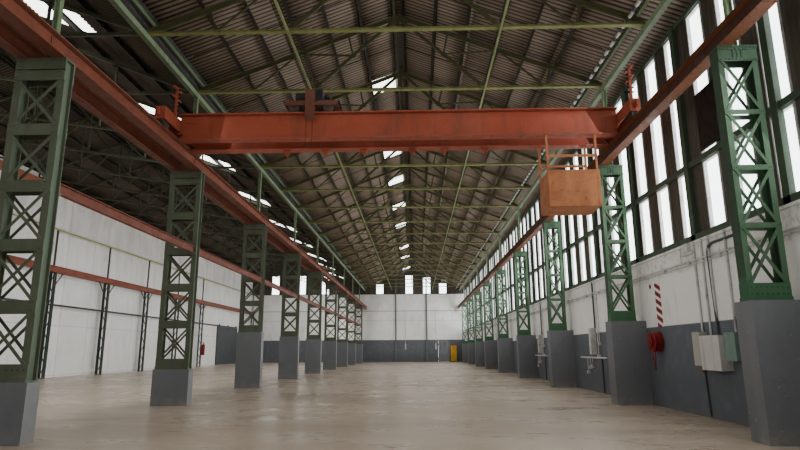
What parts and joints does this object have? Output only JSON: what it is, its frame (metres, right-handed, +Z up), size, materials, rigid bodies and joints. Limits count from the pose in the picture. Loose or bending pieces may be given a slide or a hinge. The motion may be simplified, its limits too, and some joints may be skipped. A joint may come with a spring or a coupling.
{
  "type": "factory building interior with an overhead crane, 1:2 scale model",
  "caption": "Scale model at 1:2 of a factory hall: a nave with an overhead travelling crane on laced columns, beside an aisle, under pitched sheet roofs.",
  "frame": {"origin": "centre of the bounding box at its lowest level, which is the underside of the walls and floor", "axes": "+X across the hall from the aisle to the glazed side wall, +Y along the hall from the near end wall to the far one, +Z up"},
  "size_m": [13.165, 37.545, 6.2331],
  "materials": {
    "floor_concrete": "worn concrete, dusty",
    "plaster": "painted plaster on masonry",
    "pale_green_paint": "old satin paint",
    "corrugated_sheet": "dull, weathered",
    "window_glass": "dirty clear glass",
    "dark_steel": "dark old paint",
    "plinth_render": "painted render",
    "grey_green_paint": "old satin paint",
    "olive_paint": "old satin paint",
    "runway_brown": "dark, greasy paint",
    "runway_pink": "faded satin paint",
    "rail_steel": "worn steel",
    "red_oxide": "faded red oxide paint",
    "yellow_green_paint": "old satin paint",
    "roof_sheet": "dull, dusty sheet",
    "skylight_panel": "translucent dirty sheet",
    "galvanised_sheet": "dull zinc",
    "cab_rust": "rusty paint",
    "door_grey": "satin paint",
    "hose_red": "gloss paint",
    "box_beige": "satin paint"
  },
  "bodies": {
    "hall": {"floor_slab": "floor_concrete", "side_wall": "plaster", "side_frame": "pale_green_paint", "side_cladding": "corrugated_sheet", "side_glazing": "window_glass", "aisle_wall": "plaster", "aisle_wall_posts": "dark_steel", "far_end_wall": "plaster", "near_end_wall": "plaster", "end_posts": "pale_green_paint", "gable_sheets": "corrugated_sheet", "gable_windows": "window_glass", "plinths_side": "plinth_render", "plinths_aisle": "plinth_render", "columns_side": "grey_green_paint", "columns_aisle": "olive_paint", "upper_posts": "pale_green_paint", "runway_side": "runway_brown", "runway_aisle": "runway_pink", "crane_rails": "rail_steel", "aisle_crane_beam": "runway_pink", "lower_beam": "red_oxide", "wall_crane_beam": "red_oxide", "eaves_beams": "pale_green_paint", "nave_trusses": "yellow_green_paint", "aisle_trusses": "olive_paint", "tie_runners": "olive_paint", "nave_purlins": "olive_paint", "aisle_purlins": "olive_paint", "nave_roof": "roof_sheet", "aisle_roof": "roof_sheet", "skylights": "skylight_panel", "ridge_caps": "roof_sheet", "valley_gutter": "galvanised_sheet", "gate_track": "dark_steel", "door_frames": "dark_steel", "hose_reel": "hose_red", "wall_boxes": "box_beige", "conduits": "galvanised_sheet"},
    "crane": {"bridge_girders": "red_oxide", "end_carriages": "red_oxide", "bridge_wheels": "rail_steel", "cab": "cab_rust"},
    "crab": {"crab_frame": "red_oxide", "crab_hoist": "dark_steel", "crab_wheels": "rail_steel"},
    "gate_leaf": {"sliding_gate": "dark_steel"},
    "door_leaf": {"end_door": "door_grey"}
  },
  "joints": [
    {"name": "crane_travel", "type": "slide", "parent": "hall", "child": "crane", "axis": [0, 1, 0], "range_m": [-8.335, 27.03]},
    {"name": "crab_traverse", "type": "slide", "parent": "crane", "child": "crab", "axis": [1, 0, 0], "range_m": [-1.228, 3.328]},
    {"name": "gate_slide", "type": "slide", "parent": "hall", "child": "gate_leaf", "axis": [0, 1, 0], "range_m": [-3.2, 0]},
    {"name": "end_door_swing", "type": "hinge", "parent": "hall", "child": "door_leaf", "pos_m": [4.7535, 18.4925, 0.075], "axis": [0, 0, 1], "range_deg": [-90, 0]}
  ]
}
